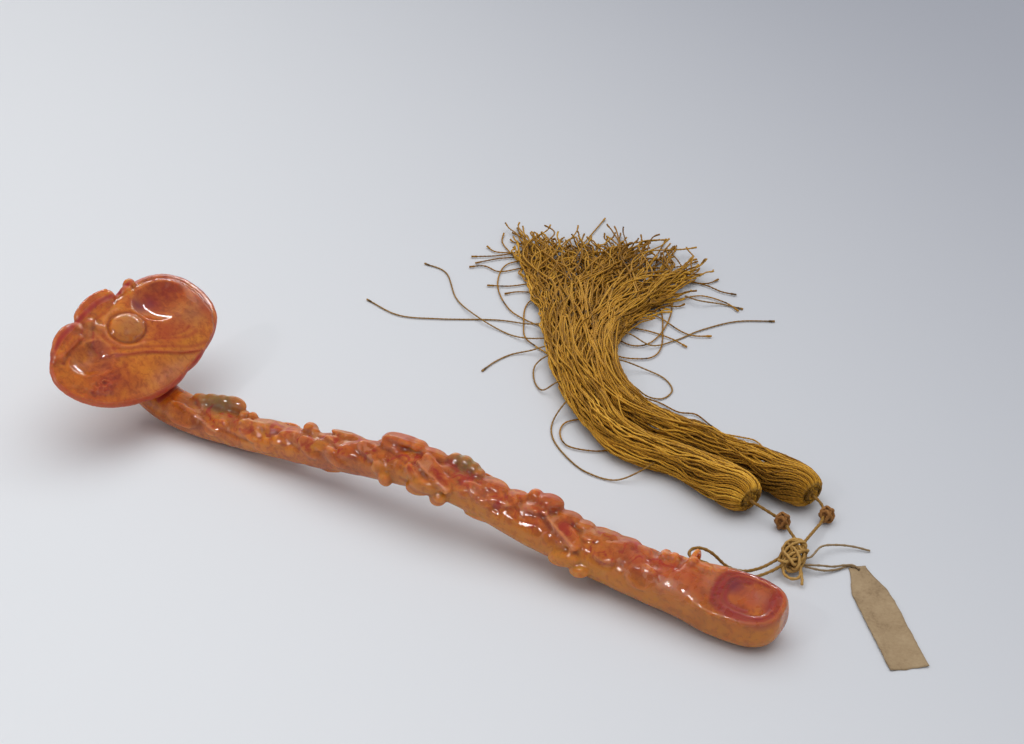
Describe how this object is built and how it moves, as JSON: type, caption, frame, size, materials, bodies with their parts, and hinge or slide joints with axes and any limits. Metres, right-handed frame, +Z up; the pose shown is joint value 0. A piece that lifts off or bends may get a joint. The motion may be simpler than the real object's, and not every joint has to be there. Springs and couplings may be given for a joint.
{
  "type": "ruyi scepter",
  "caption": "Carved agate ruyi scepter with a lingzhi fungus head, an arched branch stem and a pierced lug that carries corded silk tassels and a paper tag.",
  "frame": {"origin": "on the table that the scepter lies on, under the middle of the stone's box", "axes": "+X along the stem from the head to the terminal, +Y to the side where the tassels lie, +Z up"},
  "size_m": [0.3755, 0.3007, 0.0543],
  "materials": {
    "agate": "polished translucent carnelian agate, amber to deep red",
    "silk_cord": "two-ply twisted silk, golden ochre",
    "silk_knot": "knotted silk cord, darker ochre",
    "tag_paper": "unbleached bast paper, bare",
    "paper_string": "twisted bast paper string"
  },
  "bodies": {
    "scepter": {"scepter_stone": "agate"},
    "hanger": {"hanging_cord_loop": "silk_cord", "gathering_knot": "silk_knot", "tag_string_end": "paper_string"},
    "near_tassel": {"near_branch_cord": "silk_cord", "near_button_knot": "silk_knot", "near_neck_cord": "silk_cord", "near_stopper_knot": "silk_knot", "near_tassel_skein": "silk_cord", "loose_strand_long_left": "silk_cord", "loose_strand_upper_left": "silk_cord", "loose_strand_short_left": "silk_cord", "loose_strand_bow_left": "silk_cord", "loose_strand_bow_near": "silk_cord"},
    "far_tassel": {"far_branch_cord": "silk_cord", "far_button_knot": "silk_knot", "far_neck_cord": "silk_cord", "far_stopper_knot": "silk_knot", "far_tassel_skein": "silk_cord", "loose_strand_bow_right": "silk_cord", "loose_strand_long_right": "silk_cord", "loose_strand_fringe_right": "silk_cord"},
    "tag_string": {"tag_string": "paper_string"},
    "tag": {"paper_tag": "tag_paper"}
  },
  "joints": [
    {"name": "cord_swing", "type": "hinge", "parent": "scepter", "child": "hanger", "pos_m": [0.1225, 0.0131, 0.0175], "axis": [0, 0, 1], "range_deg": [-8, 16]},
    {"name": "near_tassel_swing", "type": "hinge", "parent": "hanger", "child": "near_tassel", "pos_m": [0.1454, 0.0551, 0.0047], "axis": [0, 0, 1], "range_deg": [0, 12]},
    {"name": "far_tassel_swing", "type": "hinge", "parent": "hanger", "child": "far_tassel", "pos_m": [0.1484, 0.0555, 0.0047], "axis": [0, 0, 1], "range_deg": [-15, 0]},
    {"name": "tag_string_swing", "type": "hinge", "parent": "hanger", "child": "tag_string", "pos_m": [0.1541, 0.0443, 0.004], "axis": [0, 0, 1], "range_deg": [-25, 25]},
    {"name": "tag_lift", "type": "hinge", "parent": "tag_string", "child": "tag", "pos_m": [0.17, 0.0575, 0.0002], "axis": [-0.776, -0.6307, 0], "range_deg": [0, 80]}
  ]
}
